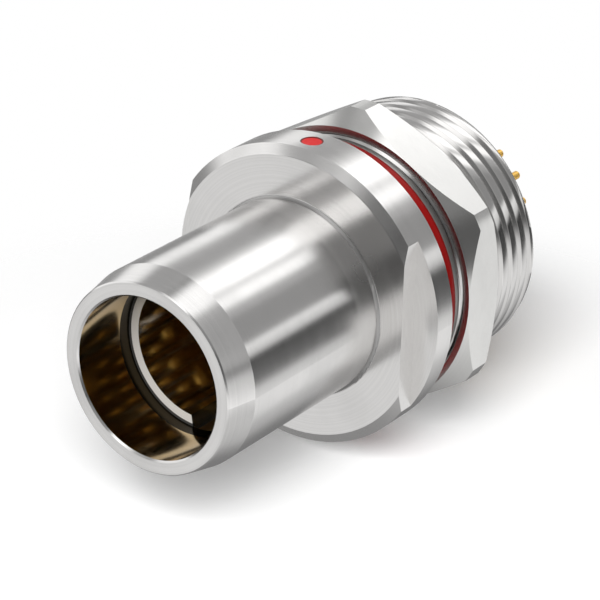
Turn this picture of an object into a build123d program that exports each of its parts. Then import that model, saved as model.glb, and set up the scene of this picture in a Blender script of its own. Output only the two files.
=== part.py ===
from build123d import *
import math
import os

# Watertight panel socket: a one-piece turned metal shell with a plug bore in its nose, a flange
# that stops on the panel, a seal in a groove behind it, a rear thread with a hexagon nut, and a
# sealed contact insert.
# Frame: the origin is on the axis, on the flange's rear face, where the panel sits. +X runs
# forward along the axis to the nose, and +Z runs through the index dot.
# All sizes are in millimetres. A "station" is a distance behind the tip of the nose.

# Plug bore, and the nose round it
mouth_diameter = 9.3
mouth_depth = 4.3
mouth_edge_break = 0.1
sleeve_step = 0.3
nose_wall = 0.9
nose_length = 13.1
taper_length = 1.85
taper_width = 0.35
tip_edge_break = 0.08
nose_root_radius = 0.2

# Thread, and the plain register in front of it
thread_diameter = 15.9
thread_run_in = 0.1
thread_end_chamfer = 0.25
shank_length = 10.3
register_length = 0.5
register_step = 0.1

# Seal in a groove behind the flange, which stands out a little to be squeezed in the panel's hole
panel_seal_section = 1.2
panel_seal_play = 0.6
panel_seal_stand_out = 0.3

# Flange, with two spanner flats beside the index dot
flange_reach = 1.1
flange_thickness = 2.8
flange_chamfer_length = 0.32
flange_chamfer_width = 0.58
flange_edge_break = 0.08
flat_cut = 1.55
flat_length = 1.26

# Index dot: enamel in a shallow drilled pocket, set back from the flange's rear face
dot_diameter = 1.3
dot_pocket_depth = 0.4
dot_recess = 0.05
dot_setback = 1.3

# Hexagon nut, run up to the front end of the thread
nut_wall = 0.55
nut_corner_reach = 1.05
nut_thickness = 3.0
nut_chamfer_length = 0.82
nut_bore_edge_break = 0.15

# Cavity for the contact insert, bored from the rear
cavity_wall = 1.65
cavity_lead = 0.4

# Keyed sleeve, with a wide and a narrow keyway
sleeve_wall = 0.92
sleeve_collar_thickness = 1.0
keyway_length = 8.0
main_keyway_width = 1.6
main_keyway_angle = 0.0
side_keyway_width = 2.0
side_keyway_angle = 170.0

# Insulators, their seal, the retaining ring and the cast resin
spigot_length = 2.5
front_insulator_flange = 2.0
rear_insulator_thickness = 3.2
insert_seal_section = 1.0
insert_seal_groove_width = 1.2
ring_thickness = 1.4
ring_width = 1.4
driver_slot_width = 1.2
driver_slot_depth = 0.6
potting_recess = 0.6

# Contacts, in two rings round a centre one
outer_ring_margin = 0.81
ring_spacing = 1.6
outer_ring_count = 12
outer_ring_turn = -4.0
inner_ring_count = 6
inner_ring_turn = 11.0
contact_pin_diameter = 0.7
contact_reach = 4.0
contact_tip_length = 0.35
contact_tip_diameter = 0.35
contact_collar_diameter = 1.2
contact_collar_length = 0.8
contact_tail_diameter = 0.5
contact_tail_reach = 6.4
contact_tail_tip = 0.15

# Clearances, and how far a cutter runs past what it cuts
thread_clearance = 0.05
fit_gap = 0.02
cutter_overrun = 1.0

# Stations that follow from the sizes above
panel_station = nose_length + flange_thickness
flat_station = nose_length + flat_length
panel_seal_end_station = panel_station + panel_seal_section + panel_seal_play
panel_seal_station = (panel_station + panel_seal_end_station) / 2
thread_station = panel_seal_end_station + register_length
shell_end_station = panel_station + shank_length
nut_rear_station = thread_station + nut_thickness
cavity_station = panel_station - cavity_lead
collar_station = cavity_station + sleeve_collar_thickness
insulator_face_station = collar_station - spigot_length
insulator_joint_station = collar_station + front_insulator_flange
rear_insulator_station = insulator_joint_station + fit_gap
ring_station = insulator_joint_station + rear_insulator_thickness
insert_seal_station = (rear_insulator_station + ring_station) / 2
potting_station = ring_station + ring_thickness
potting_end_station = shell_end_station - potting_recess
contact_tip_station = insulator_face_station - contact_reach
contact_end_station = shell_end_station + contact_tail_reach

# Radii that follow from the sizes above
mouth_radius = mouth_diameter / 2
sleeve_bore_radius = mouth_radius + sleeve_step
nose_radius = sleeve_bore_radius + nose_wall
tip_radius = nose_radius - taper_width
thread_radius = thread_diameter / 2
register_radius = thread_radius - register_step
panel_seal_floor_radius = register_radius + panel_seal_stand_out - panel_seal_section
flange_radius = register_radius + flange_reach
flange_face_radius = flange_radius - flange_chamfer_width
flat_distance = flange_radius - flat_cut
nut_bore_radius = thread_radius + thread_clearance
nut_flat_distance = thread_radius + nut_wall
nut_corner_radius = nut_flat_distance + nut_corner_reach
cavity_radius = thread_radius - cavity_wall
insert_radius = cavity_radius - fit_gap
sleeve_outer_radius = sleeve_bore_radius - fit_gap
sleeve_inner_radius = sleeve_outer_radius - sleeve_wall
ring_bore_radius = cavity_radius - ring_width
outer_ring_radius = sleeve_inner_radius - outer_ring_margin
inner_ring_radius = outer_ring_radius - ring_spacing


def at(station):
    """Position along X of a station behind the nose's tip."""
    return panel_station - station


def turned(points):
    """Solid of revolution about the axis, from (station, radius) points."""
    outline = Polyline(*[(at(station), radius) for station, radius in points], close=True)
    return revolve(make_face(outline), Axis.X)


def disc(front, rear, radius):
    """Plain round disc about the axis, between two stations."""
    return turned([(front, 0), (front, radius), (rear, radius), (rear, 0)])


def seal(station, mean_radius, section):
    """Round-section sealing ring about the axis."""
    ring = Torus(mean_radius, section / 2)
    return Pos(at(station), 0, 0) * Rot(0, 90, 0) * ring


def ring_places(radius, count, turn):
    """Points (y, z) evenly spaced on a circle, from a turn away from the index dot, towards +Y."""
    angles = [math.radians(turn + 360 * i / count) for i in range(count)]
    return [(radius * math.sin(angle), radius * math.cos(angle)) for angle in angles]


def contact_places():
    """Centres (y, z) of all contacts: outer ring, inner ring, then the middle one."""
    outer = ring_places(outer_ring_radius, outer_ring_count, outer_ring_turn)
    inner = ring_places(inner_ring_radius, inner_ring_count, inner_ring_turn)
    return outer + inner + [(0.0, 0.0)]


def contact_holes(front, rear, diameter):
    """Bores for all contacts between two stations."""
    tool = disc(front, rear, diameter / 2 + fit_gap)
    return [Pos(0, y, z) * tool for y, z in contact_places()]


def shell_outline():
    """Half section of the shell, with the nose's root still sharp."""
    return [
        (0, mouth_radius + mouth_edge_break),
        (0, tip_radius - tip_edge_break),
        (tip_edge_break, tip_radius),
        (taper_length, nose_radius),
        (nose_length, nose_radius),
        (nose_length, flange_face_radius),
        (nose_length + flange_chamfer_length, flange_radius),
        (panel_station - flange_edge_break, flange_radius),
        (panel_station, flange_radius - flange_edge_break),
        (panel_station, panel_seal_floor_radius),
        (panel_seal_end_station, panel_seal_floor_radius),
        (panel_seal_end_station, register_radius),
        (thread_station, register_radius),
        (thread_station + thread_run_in, thread_radius),
        (shell_end_station - thread_end_chamfer, thread_radius),
        (shell_end_station, thread_radius - thread_end_chamfer),
        (shell_end_station, cavity_radius),
        (cavity_station, cavity_radius),
        (cavity_station, sleeve_bore_radius),
        (mouth_depth, sleeve_bore_radius),
        (mouth_depth, mouth_radius),
        (mouth_edge_break, mouth_radius),
    ]


def round_nose_root(body):
    """Small concave radius between nose and flange, limited by the flange's front face."""
    corner = (at(nose_length), nose_radius, 0)
    root = body.edges().filter_by(GeomType.CIRCLE).sort_by_distance(corner)[0]
    face_width = flange_face_radius - nose_radius
    return fillet(root, min(nose_root_radius, face_width - tip_edge_break))


def spanner_flat():
    """Cutter for the flat on the +Y side: open to the front, with a square shoulder behind."""
    length = flat_length + cutter_overrun
    depth = flat_cut + cutter_overrun
    cutter = Box(length, depth, 2 * flange_radius, align=(Align.MIN, Align.MIN, Align.CENTER))
    return Pos(at(flat_station), flat_distance, 0) * cutter


def dot_cylinder(radius, height):
    """Round plug that stands on the floor of the index dot's pocket."""
    plug = Cylinder(radius, height, align=(Align.CENTER, Align.CENTER, Align.MIN))
    return Pos(dot_setback, 0, flange_radius - dot_pocket_depth) * plug


def shell():
    """Nose, flange and threaded shank, turned from one bar."""
    body = round_nose_root(turned(shell_outline()))
    body -= spanner_flat()
    body -= mirror(spanner_flat(), Plane.XZ)
    return body - dot_cylinder(dot_diameter / 2, dot_pocket_depth + cutter_overrun)


def index_dot():
    """Enamel filling of the pocket, a little below the flange's surface."""
    return dot_cylinder(dot_diameter / 2 - fit_gap, dot_pocket_depth - dot_recess)


def panel_seal():
    """Seal between the shell and the panel's hole, lying in the middle of its groove."""
    mean_radius = panel_seal_floor_radius + fit_gap + panel_seal_section / 2
    return seal(panel_seal_station, mean_radius, panel_seal_section)


def nut_blank():
    """Turned disc whose end chamfers meet the middle of each flat at the faces."""
    return turned([
        (thread_station, 0),
        (thread_station, nut_flat_distance),
        (thread_station + nut_chamfer_length, nut_corner_radius),
        (nut_rear_station - nut_chamfer_length, nut_corner_radius),
        (nut_rear_station, nut_flat_distance),
        (nut_rear_station, 0),
    ])


def nut_bore():
    """Clear bore over the thread's crests, with both edges broken."""
    return turned([
        (thread_station, 0),
        (thread_station, nut_bore_radius + nut_bore_edge_break),
        (thread_station + nut_bore_edge_break, nut_bore_radius),
        (nut_rear_station - nut_bore_edge_break, nut_bore_radius),
        (nut_rear_station, nut_bore_radius + nut_bore_edge_break),
        (nut_rear_station, 0),
    ])


def hex_nut():
    """Hexagon with turned ends and a corner towards the index dot."""
    hexagon = RegularPolygon(nut_flat_distance, 6, major_radius=False, rotation=30)
    prism = extrude(Plane.YZ * hexagon, nut_thickness)
    return (nut_blank() & Pos(at(nut_rear_station), 0, 0) * prism) - nut_bore()


def keyway(angle, width):
    """Slot through the sleeve's wall, open at the front and round at its closed end."""
    straight = keyway_length - width / 2 + cutter_overrun
    front = at(mouth_depth) + cutter_overrun
    slot = Box(straight, width, sleeve_bore_radius, align=(Align.MAX, Align.CENTER, Align.MIN))
    end = Cylinder(width / 2, sleeve_bore_radius, align=(Align.CENTER, Align.CENTER, Align.MIN))
    return Rot(-angle, 0, 0) * (Pos(front, 0, 0) * slot + Pos(front - straight, 0, 0) * end)


def keyed_sleeve():
    """Sleeve that guides the plug's keys, held by its collar on the floor of the cavity."""
    body = turned([
        (mouth_depth + fit_gap, sleeve_inner_radius),
        (mouth_depth + fit_gap, sleeve_outer_radius),
        (cavity_station + fit_gap, sleeve_outer_radius),
        (cavity_station + fit_gap, insert_radius),
        (collar_station, insert_radius),
        (collar_station, sleeve_inner_radius),
    ])
    body -= keyway(main_keyway_angle, main_keyway_width)
    return body - keyway(side_keyway_angle, side_keyway_width)


def front_insulator():
    """Contact carrier: a spigot in the sleeve and a flange behind its collar."""
    flange_front = collar_station + fit_gap
    spigot_radius = sleeve_inner_radius - fit_gap
    body = turned([
        (insulator_face_station, 0),
        (insulator_face_station, spigot_radius),
        (flange_front, spigot_radius),
        (flange_front, insert_radius),
        (insulator_joint_station, insert_radius),
        (insulator_joint_station, 0),
    ])
    pocket_front = insulator_joint_station - contact_collar_length - fit_gap
    body -= contact_holes(insulator_face_station, insulator_joint_station, contact_pin_diameter)
    return body - contact_holes(pocket_front, insulator_joint_station, contact_collar_diameter)


def rear_insulator():
    """Clamping disc behind the contacts' collars, with the groove of the insert's seal."""
    groove_front = insert_seal_station - insert_seal_groove_width / 2
    groove_rear = insert_seal_station + insert_seal_groove_width / 2
    groove_radius = insert_radius - insert_seal_section - fit_gap
    body = turned([
        (rear_insulator_station, 0),
        (rear_insulator_station, insert_radius),
        (groove_front, insert_radius),
        (groove_front, groove_radius),
        (groove_rear, groove_radius),
        (groove_rear, insert_radius),
        (ring_station, insert_radius),
        (ring_station, 0),
    ])
    return body - contact_holes(rear_insulator_station, ring_station, contact_tail_diameter)


def insert_seal():
    """Seal between the rear insulator and the cavity's wall."""
    return seal(insert_seal_station, insert_radius - insert_seal_section / 2, insert_seal_section)


def retaining_ring():
    """Ring that holds the insert in the cavity, with two slots for its driver."""
    front = ring_station + fit_gap
    body = turned([
        (front, ring_bore_radius),
        (front, insert_radius),
        (potting_station, insert_radius),
        (potting_station, ring_bore_radius),
    ])
    across = 2 * cavity_radius
    slots = Box(driver_slot_depth, driver_slot_width, across, align=(Align.MIN, Align.CENTER, Align.CENTER))
    return body - Pos(at(potting_station), 0, 0) * slots


def potting():
    """Cast resin that fills the rear of the cavity round the tails."""
    front = ring_station + fit_gap
    core_radius = ring_bore_radius - fit_gap
    body = turned([
        (front, 0),
        (front, core_radius),
        (potting_station + fit_gap, core_radius),
        (potting_station + fit_gap, insert_radius),
        (potting_end_station, insert_radius),
        (potting_end_station, 0),
    ])
    return body - contact_holes(front, potting_end_station, contact_tail_diameter)


def contact():
    """Pin contact on the axis: tapered tip, collar held by the insulators, thinner tail."""
    pin_radius = contact_pin_diameter / 2
    tail_radius = contact_tail_diameter / 2
    collar_radius = contact_collar_diameter / 2
    collar_front = insulator_joint_station - contact_collar_length
    return turned([
        (contact_tip_station, 0),
        (contact_tip_station, contact_tip_diameter / 2),
        (contact_tip_station + contact_tip_length, pin_radius),
        (collar_front, pin_radius),
        (collar_front, collar_radius),
        (insulator_joint_station, collar_radius),
        (insulator_joint_station, tail_radius),
        (contact_end_station - contact_tail_tip, tail_radius),
        (contact_end_station, tail_radius - contact_tail_tip),
        (contact_end_station, 0),
    ])


def write(name, solid):
    """Save one piece as its own file."""
    export_step(solid, f"parts/{name}.step")


os.makedirs("parts", exist_ok=True)
write("shell", shell())
write("index_dot", index_dot())
write("flange_o_ring", panel_seal())
write("hex_nut", hex_nut())
write("keyed_sleeve", keyed_sleeve())
write("front_insulator", front_insulator())
write("rear_insulator", rear_insulator())
write("insert_o_ring", insert_seal())
write("retaining_ring", retaining_ring())
write("potting", potting())
for number, (y, z) in enumerate(contact_places(), start=1):
    write(f"contact_{number:02d}", Pos(0, y, z) * contact())
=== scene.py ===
import math

import bpy
import numpy as np
from mathutils import Matrix, Vector

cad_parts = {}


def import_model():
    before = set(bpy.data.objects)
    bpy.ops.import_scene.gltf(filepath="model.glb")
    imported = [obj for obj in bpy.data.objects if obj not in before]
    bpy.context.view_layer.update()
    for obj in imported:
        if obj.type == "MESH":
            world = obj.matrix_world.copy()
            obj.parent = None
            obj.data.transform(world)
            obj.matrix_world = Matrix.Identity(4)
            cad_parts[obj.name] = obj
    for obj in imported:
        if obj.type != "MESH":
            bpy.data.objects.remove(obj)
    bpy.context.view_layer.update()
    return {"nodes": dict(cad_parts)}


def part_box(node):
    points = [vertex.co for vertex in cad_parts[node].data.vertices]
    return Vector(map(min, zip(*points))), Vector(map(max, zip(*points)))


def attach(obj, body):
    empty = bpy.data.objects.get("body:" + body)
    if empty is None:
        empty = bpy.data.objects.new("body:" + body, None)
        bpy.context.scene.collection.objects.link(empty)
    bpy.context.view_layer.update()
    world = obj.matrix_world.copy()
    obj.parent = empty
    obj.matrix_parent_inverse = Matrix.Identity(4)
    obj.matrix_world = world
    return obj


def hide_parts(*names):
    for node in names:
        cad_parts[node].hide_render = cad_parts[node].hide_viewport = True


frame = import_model()

# Lengths are in metres. A station is a distance behind the nose tip, along the axis, and +X runs to
# the nose.
MM = 0.001
NOSE_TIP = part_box("shell")[1].x
SHELL_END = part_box("shell")[0].x
CONTACT_COUNT = 19

# Steps round the axis in the thread and the seal.
STEPS_ROUND = 240

# The shell's faces that the thread joins, and its bore, as its source has them.
REGISTER_RADIUS = 7.85 * MM
CAVITY_RADIUS = 6.3 * MM
BORE_RADIUS = 4.65 * MM
BORE_DEPTH = 4.3 * MM

# Screw thread on the shank. Half a pitch of its profile runs from the middle of a root to the middle
# of a crest, as a share of the pitch and of the thread's depth.
THREAD_FRONT = NOSE_TIP - 18.2 * MM
THREAD_LENGTH = THREAD_FRONT - SHELL_END
THREAD_PITCH = 1.0 * MM
THREAD_CREST_RADIUS = 7.95 * MM
THREAD_ROOT_RADIUS = 7.55 * MM
THREAD_RUN_IN = 0.1 * MM
THREAD_END_CHAMFER = 0.25 * MM
HALF_PROFILE = [(0.0, 0.0), (0.03, 0.02), (0.06, 0.1), (0.2, 0.93), (0.225, 0.99), (0.25, 1.0),
                (0.5, 1.0)]

# Seal in the groove behind the flange, pressed out until it nearly fills the groove. A squareness of
# 2 would make its section an ellipse, and more brings it nearer to a rectangle.
SEAL_X = NOSE_TIP - 16.84 * MM
SEAL_RADIUS = 7.56 * MM
SEAL_HALF_WIDTH = 0.8 * MM
SEAL_HALF_HEIGHT = 0.6 * MM
SEAL_SQUARENESS = 3.6
SEAL_POINTS = 32

# The threaded shell's materials, by their number.
BODY_FINISH, BORE_FINISH, THREAD_FINISH = 0, 1, 2
# Where two of its faces turn by more than this, the edge between them is sharp.
SHARP_ANGLE = math.radians(40)
# A corner with this for its normal takes the one that its faces give it.
USUAL_NORMAL = (0, 0, 0)
# Margin for rounding when points are sorted by their place.
SLACK = 0.002 * MM

# Finish of the metal by zone: front and rear station and inner and outer radius in millimetres, then
# roughness and how much of the colour is left, which is painted shade in some zones.
SHELL_ZONES = {
    "nose behind the plug's seal": (11.3, 12.88, 5.8, 6.0, 0.25, 1.0),
    # The next zone's colour is darkened as painted shade on the concave fillet at the nose's root.
    "painted shade at the nose's root": (12.9, 13.09, 5.8, 6.04, 0.4, 0.62),
    "flange face": (13.09, 13.12, 6.04, 8.4, 0.13, 0.98),
    # The seal groove's colour is darkened as painted shade in the recess; its roughness is its turned
    # finish.
    "seal groove": (15.86, 17.72, 6.9, 7.84, 0.5, 0.8),
    # The register's colour is darkened as painted shade in the gap between flange and nut; its roughness
    # is its ground finish.
    "ground register": (17.68, 18.25, 7.84, 7.9, 0.35, 0.75),
    "rear end and cavity": (15.6, 26.3, 0.0, 7.6, 0.3, 0.95),
}
BORE_ZONES = {
    # Painted shade darkens the bore's wall next to the sleeve's ring, so that it does not mirror the ring.
    "painted shade at the bottom of the bore": (3.5, 4.4, 0.0, 4.7, 0.2, 0.05),
}
SLEEVE_ZONES = {
    # Painted shade darkens the outer edge of the sleeve's front face, in the corner where it meets the
    # bore.
    "painted shade where the sleeve meets the bore": (4.2, 4.4, 4.5, 5.0, 0.5, 0.08),
}

# A noise lies mostly between these two values.
NOISE_SPAN = (0.3, 0.7)

# The studio as the metal sees it, in strips along the part's axis. Each strip has its middle and half
# width in degrees round the axis, from straight up towards +Y, the softness of its edge and its
# brightness.
STRIPS_BEHIND = {
    "left horizon": (-104, 14, 5, 0.28),
    "left softbox": (-70, 12, 6, 1.15),
    "left wall": (-37, 22, 7, 0.43),
    "ceiling": (6, 28, 10, 0.6),
    "overhead softbox, left": (-4, 11.6, 5, 1.1),
    "overhead softbox, right": (21, 7, 4, 0.9),
    "right wall": (55, 22, 6, 0.33),
    "right softbox": (78, 7, 3, 0.8),
    "right horizon": (102, 12, 5, 0.07),
    "lit ground": (136, 18, 6, 0.36),
    "ground": (150, 28, 18, 0.38),
    "shaded ground": (185, 66, 8, 0.2),
}
STRIPS_BESIDE = {
    "left horizon": (-104, 22, 6, 0.3),
    "left softbox": (-67, 19, 6, 1.05),
    "left wall": (-30, 16, 6, 0.4),
    "overhead softbox": (6, 14, 6, 1.3),
    "right wall": (52, 34, 6, 0.42),
    "right softbox": (107, 17, 7, 0.75),
    "ground": (138, 30, 14, 0.3),
    "shaded ground": (176, 58, 8, 0.3),
}
STRIPS_IN_FRONT = {
    "left horizon": (-92, 14, 6, 0.45),
    "left softbox": (-68, 10, 4, 1.2),
    "left wall": (-46, 12, 5, 0.33),
    "upper left wall": (-30, 8, 5, 0.5),
    "overhead softbox": (-6, 16, 5, 1.6),
    "right wall": (36, 26, 8, 0.28),
    "right horizon": (80, 18, 6, 0.1),
    "lit ground, right": (135, 26, 8, 0.5),
    "ground": (178, 76, 7, 0.45),
    "lit ground, left": (-128, 26, 8, 0.36),
}
STRIPS_AHEAD = {
    "left horizon": (-96, 14, 5, 0.5),
    "left softbox": (-70, 10, 5, 1.4),
    "left wall": (-33, 25, 8, 0.4),
    "ceiling": (18, 24, 10, 0.16),
    "right wall": (72, 30, 8, 0.09),
    "ground": (178, 76, 7, 0.7),
}
# Each part of the room gives way to the next one forward between two values of a direction's x.
ROOM = [(STRIPS_BEHIND, -0.65, -0.48), (STRIPS_BESIDE, 0.4, 0.65), (STRIPS_IN_FRONT, 0.8, 0.9)]

# What paint, rubber and the floor get from the room, then the floor and the lamp.
AMBIENT = 0.2
TABLE_STEPS_ROUND = 96
TABLE_RADIUS = 36 * MM
TABLE_FADE_START = 24 * MM
FLOOR_WHITE = 0.88
FLOOR_GLOW = 0.12
LAMP_PLACE = Vector((0.34, 0.17, 0.32))
LAMP_SIZE = 0.3
LAMP_POWER = 3.55

# The camera, fitted to the photograph's outlines.
CAMERA_PLACE = Vector((113.8455, 79.52276, 64.7612)) * MM
CAMERA_RIGHT = Vector((-0.58816132, 0.80843396, 0.0223784))
CAMERA_UP = Vector((-0.33556474, -0.26912334, 0.9027563))
CAMERA_SENSOR = 36.0
CAMERA_LENS = 161.3555


def new_object(name, data):
    """An object in the scene with this mesh, camera or light."""
    made = bpy.data.objects.new(name, data)
    bpy.context.scene.collection.objects.link(made)
    return made


def new_piece(name, points, faces):
    """A smoothly shaded piece."""
    mesh = bpy.data.meshes.new(name)
    mesh.from_pydata(points, [], faces)
    mesh.polygons.foreach_set("use_smooth", [True] * len(mesh.polygons))
    mesh.update()
    return new_object(name, mesh)


def new_material(name):
    """A new material, its node tree and its Principled shader."""
    material = bpy.data.materials.new(name)
    material.use_nodes = True
    tree = material.node_tree
    return material, tree, tree.nodes["Principled BSDF"]


def set_inputs(tree, node, inputs):
    """Links or sets a node's inputs, by name or number."""
    for key, value in inputs.items():
        if isinstance(value, bpy.types.NodeSocket):
            tree.links.new(value, node.inputs[key])
        else:
            node.inputs[key].default_value = value


def add_node(tree, kind, inputs=None, **settings):
    """Adds a node with its inputs and properties."""
    node = tree.nodes.new(kind)
    for key, value in settings.items():
        setattr(node, key, value)
    set_inputs(tree, node, inputs or {})
    return node


def calc(tree, operation, *values):
    """The result of a Math node."""
    return add_node(tree, "ShaderNodeMath", dict(enumerate(values)), operation=operation).outputs[0]


def mix(tree, share, low, high):
    """Blends two numbers by a share between 0 and 1."""
    inputs = {"Factor": share, "A": low, "B": high}
    return add_node(tree, "ShaderNodeMix", inputs, data_type="FLOAT").outputs[0]


def mix_colour(tree, share, low, high):
    """Blends two colours by a share between 0 and 1."""
    # These go by number, since the node's sockets for numbers and vectors have the same names.
    first_colour, second_colour, colour_result = 6, 7, 2
    inputs = {"Factor": share, first_colour: (*low, 1), second_colour: (*high, 1)}
    return add_node(tree, "ShaderNodeMix", inputs, data_type="RGBA").outputs[colour_result]


def ramp(tree, value, low, high, to_low=0.0, to_high=1.0):
    """Goes smoothly from to_low at low to to_high at high."""
    inputs = {"Value": value, "From Min": low, "From Max": high, "To Min": to_low, "To Max": to_high}
    return add_node(tree, "ShaderNodeMapRange", inputs, interpolation_type="SMOOTHSTEP").outputs[0]


def between(tree, value, low, high):
    """1 where the value lies between low and high, and 0 elsewhere."""
    return calc(tree, "COMPARE", value, (low + high) / 2, (high - low) / 2)


def noise(tree, vector, scale, detail=2.0):
    """Soft random spots, about 1 / scale metres apart."""
    inputs = {"Vector": vector, "Scale": scale, "Detail": detail}
    return add_node(tree, "ShaderNodeTexNoise", inputs).outputs["Fac"]


def bump(tree, height, strength, depth):
    """The surface's normal, turned as if it stood out where the height is greater."""
    inputs = {"Height": height, "Strength": strength, "Distance": depth}
    return add_node(tree, "ShaderNodeBump", inputs).outputs[0]


def place_on_piece(tree):
    """The place on the piece, in metres."""
    return add_node(tree, "ShaderNodeTexCoord").outputs["Object"]


def parts_of(tree, vector):
    """The X, Y and Z of a vector."""
    return add_node(tree, "ShaderNodeSeparateXYZ", {0: vector}).outputs


def vector_of(tree, x=0.0, y=0.0, z=0.0):
    """The vector with this X, Y and Z."""
    return add_node(tree, "ShaderNodeCombineXYZ", {"X": x, "Y": y, "Z": z}).outputs[0]


def length_of(tree, vector):
    """The length of a vector."""
    return add_node(tree, "ShaderNodeVectorMath", {0: vector}, operation="LENGTH").outputs["Value"]


def seen_directly(tree, path):
    """1 for a ray that the camera sent, also through something clear, and 0 for all others."""
    return calc(tree, "MAXIMUM", path["Is Camera Ray"], path["Is Transmission Ray"])


def zoned_finish(tree, x, radius, roughness, zones):
    """Roughness, and the share of the colour that is left, where some zones have their own."""
    shade = 1.0
    for front_station, rear_station, inner, outer, zone_roughness, zone_shade in zones.values():
        along = between(tree, x, NOSE_TIP - rear_station * MM, NOSE_TIP - front_station * MM)
        across = between(tree, radius, inner * MM, outer * MM)
        inside = calc(tree, "MULTIPLY", along, across)
        roughness = mix(tree, inside, roughness, zone_roughness)
        shade = mix(tree, inside, shade, zone_shade)
    return roughness, shade


def turned_metal(name, colour, roughness, zones, grain=1.0, anisotropy=0.7):
    """Plated metal with a lathe's fine rings, a little tarnish, and its own finish in each zone, some with
    painted shade.

    Grain is how strong the rings are, and anisotropy how far they stretch a highlight."""
    material, tree, shader = new_material(name)
    place = place_on_piece(tree)
    parts = parts_of(tree, place)
    radius = length_of(tree, vector_of(tree, y=parts["Y"], z=parts["Z"]))
    along_and_out = vector_of(tree, x=parts["X"], y=radius)
    fine_rings = noise(tree, along_and_out, scale=14000.0)
    broad_rings = noise(tree, along_and_out, scale=2200.0, detail=1.0)
    tarnish = noise(tree, place, scale=260.0, detail=3.0)
    level, shade = zoned_finish(tree, parts["X"], radius, roughness, zones)

    uneven = ramp(tree, broad_rings, *NOISE_SPAN, to_low=0.97, to_high=1.03)
    smudged = ramp(tree, tarnish, 0.45, 0.75, to_low=1.0, to_high=1.12)
    ring_height = calc(tree, "MULTIPLY", fine_rings, level)

    streaks = ramp(tree, fine_rings, *NOISE_SPAN, to_low=1 - 0.035 * grain, to_high=1 + 0.02 * grain)
    dulled = tuple(0.93 * c for c in colour)
    tint = mix_colour(tree, ramp(tree, tarnish, 0.4, 0.8), colour, dulled)
    shade = calc(tree, "MULTIPLY", shade, streaks)
    tint = add_node(tree, "ShaderNodeVectorMath", {0: tint, "Scale": shade}, operation="SCALE")

    quarter_turn = 0.25
    set_inputs(tree, shader, {
        "Base Color": tint.outputs[0],
        "Metallic": 1.0,
        "Roughness": calc(tree, "MULTIPLY", calc(tree, "MULTIPLY", level, uneven), smudged),
        "Anisotropic": anisotropy,
        "Anisotropic Rotation": quarter_turn,
        "Tangent": add_node(tree, "ShaderNodeTangent", direction_type="RADIAL", axis="X").outputs[0],
        "Normal": bump(tree, ring_height, strength=0.3 * grain, depth=0.006 * MM)})
    return material


def blast_front_face(material, front):
    """Bead-blasts the face at one x, so that it scatters light and doesn't mirror the wall beside it."""
    tree = material.node_tree
    shader = tree.nodes["Principled BSDF"]
    face_depth = 0.02 * MM
    blasted_roughness = 0.5
    blasted_metallic = 0.3
    x = parts_of(tree, place_on_piece(tree))["X"]
    blasted = between(tree, x, front - face_depth, front + face_depth)
    polished_roughness = shader.inputs["Roughness"].links[0].from_socket
    set_inputs(tree, shader, {
        "Roughness": mix(tree, blasted, polished_roughness, blasted_roughness),
        "Metallic": mix(tree, blasted, 1.0, blasted_metallic)})


def enamel(name, dot_low, dot_high):
    """Glossy red enamel, darkened by painted shade towards the wall of its pocket."""
    red = (0.66, 0.012, 0.012)
    # Painted shade: the enamel turns this darker red towards the wall of its pocket.
    pocket_shade_red = (0.16, 0.008, 0.006)
    material, tree, shader = new_material(name)
    place = place_on_piece(tree)
    parts = parts_of(tree, place)
    middle = (dot_low.x + dot_high.x) / 2
    reach = (dot_high.x - dot_low.x) / 2
    out = length_of(tree, vector_of(tree, x=calc(tree, "SUBTRACT", parts["X"], middle), y=parts["Y"]))
    rim = ramp(tree, out, 0.8 * reach, 0.97 * reach)
    mottle = noise(tree, place, scale=2500.0)
    set_inputs(tree, shader, {
        "Base Color": mix_colour(tree, rim, red, pocket_shade_red),
        "Roughness": ramp(tree, mottle, *NOISE_SPAN, to_low=0.3, to_high=0.42),
        "Specular IOR Level": 0.2})
    return material


def rubber(name):
    """Silicone rubber with a faint bloom and the fine grain of its mould."""
    red = (0.3, 0.005, 0.004)
    bloomed_red = (0.25, 0.004, 0.0035)
    material, tree, shader = new_material(name)
    place = place_on_piece(tree)
    bloom = noise(tree, place, scale=700.0, detail=3.0)
    grain = noise(tree, place, scale=12000.0)
    set_inputs(tree, shader, {
        "Base Color": mix_colour(tree, bloom, red, bloomed_red),
        "Roughness": ramp(tree, bloom, *NOISE_SPAN, to_low=0.3, to_high=0.42),
        "Specular IOR Level": 0.1,
        "Normal": bump(tree, grain, strength=0.15, depth=0.004 * MM)})
    return material


def moulded_plastic(name):
    """Dark brown glass-filled plastic, flecked and slightly pitted."""
    brown = (0.12, 0.052, 0.008)
    fleck_brown = (0.22, 0.11, 0.02)
    material, tree, shader = new_material(name)
    place = place_on_piece(tree)
    flecks = noise(tree, place, scale=5200.0, detail=4.0)
    flow = noise(tree, place, scale=500.0)
    set_inputs(tree, shader, {
        "Base Color": mix_colour(tree, calc(tree, "MULTIPLY", flecks, flow), brown, fleck_brown),
        "Roughness": ramp(tree, flecks, *NOISE_SPAN, to_low=0.3, to_high=0.46),
        "Normal": bump(tree, flecks, strength=0.2, depth=0.01 * MM)})
    return material


def cast_resin(name):
    """Black resin that has flowed level and set, with a slow ripple and a dusty bloom."""
    black = (0.012, 0.012, 0.013)
    dusty_black = (0.04, 0.04, 0.042)
    material, tree, shader = new_material(name)
    place = place_on_piece(tree)
    ripple = noise(tree, place, scale=450.0, detail=1.0)
    dust = noise(tree, place, scale=6000.0, detail=4.0)
    set_inputs(tree, shader, {
        "Base Color": mix_colour(tree, dust, black, dusty_black),
        "Roughness": ramp(tree, dust, 0.4, 0.8, to_low=0.12, to_high=0.35),
        "Normal": bump(tree, ripple, strength=0.3, depth=0.05 * MM)})
    return material


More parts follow.
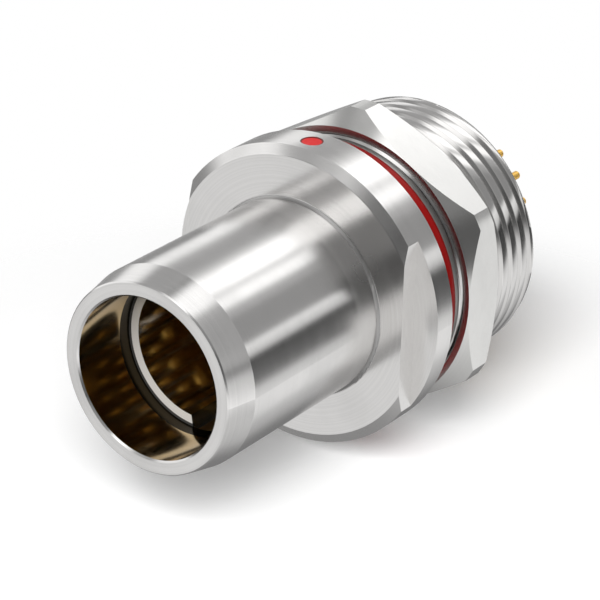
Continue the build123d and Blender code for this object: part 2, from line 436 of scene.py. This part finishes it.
def gold_plate(name):
    """Gold over nickel, with fine drawn lines along each pin and a slightly uneven tone."""
    gold = (1.0, 0.66, 0.17)
    deep_gold = (0.93, 0.56, 0.13)
    drawn_out = (0.08, 1.0, 1.0)
    material, tree, shader = new_material(name)
    place = place_on_piece(tree)
    along = add_node(tree, "ShaderNodeVectorMath", {0: place, 1: drawn_out}, operation="MULTIPLY")
    lines = noise(tree, along.outputs[0], scale=9000.0)
    tone = noise(tree, place, scale=800.0)
    set_inputs(tree, shader, {
        "Base Color": mix_colour(tree, tone, gold, deep_gold),
        "Metallic": 1.0,
        "Roughness": ramp(tree, lines, *NOISE_SPAN, to_low=0.38, to_high=0.5),
        "Normal": bump(tree, lines, strength=0.1, depth=0.003 * MM)})
    return material


def give(material, *names):
    """Puts one material on whole CAD nodes."""
    for name in names:
        data = frame["nodes"][name].data
        data.materials.clear()
        data.materials.append(material)


def round_point(x, radius, angle):
    """The point at an x, at a radius from the axis and at an angle round it from straight up."""
    return (x, radius * math.sin(angle), radius * math.cos(angle))


def ring_points(x, radii):
    """Points round the axis at one x."""
    angles = np.arange(STEPS_ROUND) * 2 * math.pi / STEPS_ROUND
    return [round_point(x, radius, angle) for radius, angle in zip(radii, angles)]


def band(front_ring, rear_ring):
    """Faces between two rings, given by the number of each one's first point."""
    faces = []
    for k in range(STEPS_ROUND):
        beside = (k + 1) % STEPS_ROUND
        faces.append((front_ring + k, front_ring + beside, rear_ring + beside, rear_ring + k))
    return faces


def thread_radius(pitches):
    """The thread's radius at places along it, counted in pitches from the middle of a root."""
    places, heights = np.array(HALF_PROFILE).T
    from_root = np.abs(np.mod(pitches + 0.5, 1.0) - 0.5)
    depth = THREAD_CREST_RADIUS - THREAD_ROOT_RADIUS
    return THREAD_ROOT_RADIUS + np.interp(from_root, places, heights) * depth


def thread_grid():
    """Rows of points, by distance behind the thread's front end and from its axis. A row follows one
    line of the profile once round the shank, and is held to the ends where it would run past them."""
    half = [corner[0] for corner in HALF_PROFILE]
    places = half + [1 - place for place in reversed(half[1:-1])]
    # The rows start a turn before the front end, and there are enough of them to pass the rear end.
    turns = math.ceil(THREAD_LENGTH / THREAD_PITCH) + 3
    rows = np.array([turn - 1 + place for turn in range(turns) for place in places])
    round_share = np.arange(STEPS_ROUND) / STEPS_ROUND
    wanted = (rows[:, None] + round_share) * THREAD_PITCH
    along = np.clip(wanted, 0, THREAD_LENGTH)
    radius = thread_radius(along / THREAD_PITCH - round_share)
    run_in = np.maximum(0, THREAD_RUN_IN - along)
    chamfer = np.maximum(0, along - (THREAD_LENGTH - THREAD_END_CHAMFER))
    radius = np.minimum(radius, THREAD_CREST_RADIUS - run_in)
    radius = np.minimum(radius, THREAD_CREST_RADIUS - chamfer)
    return along, radius, wanted < 0, wanted > THREAD_LENGTH, len(places)


def row_faces(numbers, points_in_pitch):
    """Faces between the rows of the thread. After one turn, each row runs on as the one a pitch behind."""
    rows, steps = numbers.shape
    faces = []
    for row in range(rows - 1 - points_in_pitch):
        for k in range(steps):
            side_row, side_k = (row, k + 1) if k + 1 < steps else (row + points_in_pitch, 0)
            near = (numbers[row, k], numbers[side_row, side_k])
            far = (numbers[side_row + 1, side_k], numbers[row + 1, k])
            face = [int(n) for n in dict.fromkeys(near + far)]
            if len(face) > 2:
                faces.append(face)
    return faces


def screw_thread():
    """Points and faces of the screw thread, with a wall at each end that closes it against the shell."""
    along, radius, before, beyond, points_in_pitch = thread_grid()
    rows, steps = along.shape
    share = np.arange(steps) / steps
    front_radii = np.minimum(thread_radius(-share), THREAD_CREST_RADIUS - THREAD_RUN_IN)
    rear_radii = thread_radius(THREAD_LENGTH / THREAD_PITCH - share)
    rear_radii = np.minimum(rear_radii, THREAD_CREST_RADIUS - THREAD_END_CHAMFER)
    points = ring_points(THREAD_FRONT, front_radii) + ring_points(SHELL_END, rear_radii)
    points += ring_points(THREAD_FRONT, [REGISTER_RADIUS] * steps)
    points += ring_points(SHELL_END, [CAVITY_RADIUS] * steps)
    front_ring, rear_ring, register_ring, cavity_ring = 0, steps, 2 * steps, 3 * steps

    numbers = np.zeros((rows, steps), int)
    angles = share * 2 * math.pi
    for row in range(rows):
        for k in range(steps):
            if before[row, k]:
                numbers[row, k] = front_ring + k
            elif beyond[row, k]:
                numbers[row, k] = rear_ring + k
            else:
                numbers[row, k] = len(points)
                points.append(round_point(THREAD_FRONT - along[row, k], radius[row, k], angles[k]))
    faces = row_faces(numbers, points_in_pitch)
    faces += band(register_ring, front_ring) + band(rear_ring, cavity_ring)
    return points, faces


def faces_but_shank(source, points):
    """The CAD shell's faces without those of its plain shank, with their finishes and normals."""
    radii = [math.hypot(y, z) for x, y, z in points]
    bore_end = NOSE_TIP - BORE_DEPTH - SLACK
    bore_wall = BORE_RADIUS + SLACK
    on_shank = [point[0] < THREAD_FRONT + SLACK for point in points]
    outside = [radius > CAVITY_RADIUS + SLACK for radius in radii]
    in_bore = [point[0] > bore_end and radius < bore_wall for point, radius in zip(points, radii)]
    faces = []
    finishes = []
    normals = []
    for polygon in source.polygons:
        corners = list(polygon.vertices)
        if all(on_shank[v] for v in corners) and any(outside[v] for v in corners):
            continue
        faces.append(corners)
        finishes.append(BORE_FINISH if all(in_bore[v] for v in corners) else BODY_FINISH)
        normals += [tuple(source.corner_normals[k].vector) for k in polygon.loop_indices]
    return faces, finishes, normals


def threaded_shell():
    """The CAD shell with its plain shank exchanged for a screw thread."""
    source = frame["nodes"]["shell"].data
    points = [tuple(v.co) for v in source.vertices]
    faces, finishes, normals = faces_but_shank(source, points)
    thread_points, thread_faces = screw_thread()
    first = len(points)
    for face in thread_faces:
        faces.append([first + n for n in face])
        finishes.append(THREAD_FINISH)
        normals += [USUAL_NORMAL] * len(face)
    made = new_piece("threaded_shell", points + thread_points, faces)
    mesh = made.data
    mesh.polygons.foreach_set("material_index", finishes)
    mesh.set_sharp_from_angle(angle=SHARP_ANGLE)
    mesh.normals_split_custom_set(normals)
    mesh.update()
    return made


def seated_seal():
    """The seal's ring, with the full, rounded square section that it has when pressed into its groove."""
    points = []
    for k in range(SEAL_POINTS):
        angle = 2 * math.pi * k / SEAL_POINTS
        across = math.cos(angle)
        up = math.sin(angle)
        stretch = (abs(across) ** SEAL_SQUARENESS + abs(up) ** SEAL_SQUARENESS) ** (-1 / SEAL_SQUARENESS)
        x = SEAL_X + SEAL_HALF_WIDTH * across * stretch
        radius = SEAL_RADIUS + SEAL_HALF_HEIGHT * up * stretch
        points += ring_points(x, [radius] * STEPS_ROUND)
    faces = []
    for k in range(SEAL_POINTS):
        beside = (k + 1) % SEAL_POINTS
        faces += band(beside * STEPS_ROUND, k * STEPS_ROUND)
    return new_piece("seated_seal", points, faces)


def camera():
    """A long lens from in front, above and the +Y side."""
    data = bpy.data.cameras.new("camera")
    data.sensor_width = CAMERA_SENSOR
    data.lens = CAMERA_LENS
    made = new_object("camera", data)
    right = CAMERA_RIGHT.normalized()
    up = CAMERA_UP.normalized()
    turn = Matrix((right, up, right.cross(up))).transposed().to_4x4()
    made.matrix_world = Matrix.Translation(CAMERA_PLACE) @ turn
    bpy.context.scene.camera = made


def strips_level(tree, angle, strips):
    """Brightness of a set of strips at an angle round the part's axis."""
    level = 0.0
    for name, (middle, half_width, edge, brightness) in strips.items():
        off = calc(tree, "SUBTRACT", angle, math.radians(middle))
        off = calc(tree, "ABSOLUTE", calc(tree, "WRAP", off, math.pi, -math.pi))
        inner = math.radians(half_width - edge)
        outer = math.radians(half_width + edge)
        strip = ramp(tree, off, inner, outer, to_low=brightness, to_high=0.0)
        strip.node.label = name
        level = calc(tree, "ADD", level, strip)
    return level


def world():
    """A white room for the camera. Metal sees it with its softboxes and the darker gaps between."""
    made = bpy.data.worlds.new("studio")
    bpy.context.scene.world = made
    made.use_nodes = True
    made.cycles.sampling_method = "NONE"
    tree = made.node_tree
    parts = parts_of(tree, add_node(tree, "ShaderNodeTexCoord").outputs["Generated"])
    angle = calc(tree, "ARCTAN2", parts["Y"], parts["Z"])
    room = strips_level(tree, angle, STRIPS_AHEAD)
    for strips, turn_start, turn_end in reversed(ROOM):
        further = ramp(tree, parts["X"], turn_start, turn_end)
        room = mix(tree, further, strips_level(tree, angle, strips), room)
    path = add_node(tree, "ShaderNodeLightPath").outputs
    lit = mix(tree, path["Is Glossy Ray"], AMBIENT, room)
    set_inputs(tree, tree.nodes["Background"], {
        "Color": (1, 1, 1, 1),
        "Strength": mix(tree, seen_directly(tree, path), lit, 1.0)})


def table_white(name):
    """Matt white that glows a little to the camera and fades away towards the table's rim."""
    material, tree, shader = new_material(name)
    path = add_node(tree, "ShaderNodeLightPath").outputs
    set_inputs(tree, shader, {
        "Base Color": (FLOOR_WHITE, FLOOR_WHITE, FLOOR_WHITE, 1),
        "Roughness": 0.9,
        "Specular IOR Level": 0.0,
        "Emission Color": (1, 1, 1, 1),
        "Emission Strength": calc(tree, "MULTIPLY", seen_directly(tree, path), FLOOR_GLOW)})
    reach = length_of(tree, place_on_piece(tree))
    fade = ramp(tree, reach, TABLE_FADE_START, TABLE_RADIUS)
    nothing = add_node(tree, "ShaderNodeBsdfTransparent").outputs[0]
    faded = add_node(tree, "ShaderNodeMixShader", {0: fade, 1: shader.outputs[0], 2: nothing})
    set_inputs(tree, tree.nodes["Material Output"], {"Surface": faded.outputs[0]})
    material.cycles.emission_sampling = "NONE"
    return material


def floor():
    """A round white table top, which fades into the white room at its rim."""
    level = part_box("hex_nut")[0].z
    angles = [2 * math.pi * k / TABLE_STEPS_ROUND for k in range(TABLE_STEPS_ROUND)]
    rim = [(TABLE_RADIUS * math.cos(a), TABLE_RADIUS * math.sin(a), level) for a in angles]
    mesh = bpy.data.meshes.new("floor")
    mesh.from_pydata(rim, [], [tuple(range(TABLE_STEPS_ROUND))])
    mesh.materials.append(table_white("floor"))
    made = new_object("floor", mesh)
    made.visible_glossy = False


def lamp():
    """A softbox that lights the paint, rubber and floor. For the metal, the room's strips stand in."""
    data = bpy.data.lights.new("overhead", "AREA")
    data.shape = "SQUARE"
    data.size = LAMP_SIZE
    data.energy = LAMP_POWER
    made = new_object("overhead", data)
    made.location = LAMP_PLACE
    made.rotation_euler = (-LAMP_PLACE).to_track_quat("-Z", "Y").to_euler()
    made.visible_glossy = False


camera()
world()
floor()
lamp()

plated = turned_metal("plated_metal", colour=(0.78, 0.77, 0.76), roughness=0.21, zones=SHELL_ZONES)
# The bore's gold-brown colour is a painted reflection of the gold contacts and brown insulator inside it.
bore = turned_metal("bore_metal", colour=(0.72, 0.56, 0.33), roughness=0.12, zones=BORE_ZONES,
                    grain=0.3, anisotropy=0.0)
# The thread is darker than the shell's plating, partly for its rolled finish and partly as painted shade
# in its grooves.
thread = turned_metal("thread_metal", colour=(0.7, 0.69, 0.68), roughness=0.14, zones={}, grain=0.4)
nut = turned_metal("nut_metal", colour=(0.78, 0.775, 0.76), roughness=0.2, zones={}, grain=0.6)
ring = turned_metal("ring_metal", colour=(0.76, 0.75, 0.73), roughness=0.2, zones={})
sleeve = turned_metal("sleeve_metal", colour=(0.82, 0.79, 0.75), roughness=0.12, zones=SLEEVE_ZONES,
                      grain=0.3, anisotropy=0.0)
blast_front_face(sleeve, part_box("keyed_sleeve")[1].x)
red_rubber = rubber("red_rubber")

give(plated, "shell")
give(nut, "hex_nut")
give(ring, "retaining_ring")
give(sleeve, "keyed_sleeve")
give(enamel("red_enamel", *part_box("index_dot")), "index_dot")
give(red_rubber, "flange_o_ring", "insert_o_ring")
give(moulded_plastic("insulator"), "front_insulator", "rear_insulator")
give(cast_resin("resin"), "potting")
give(gold_plate("gold"), *[f"contact_{k:02d}" for k in range(1, CONTACT_COUNT + 1)])

shell = threaded_shell()
for finish in (plated, bore, thread):
    shell.data.materials.append(finish)
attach(shell, "socket")
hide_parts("shell")

seal = seated_seal()
seal.data.materials.append(red_rubber)
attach(seal, "socket")
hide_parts("flange_o_ring")

bpy.context.scene.view_settings.view_transform = "Standard"
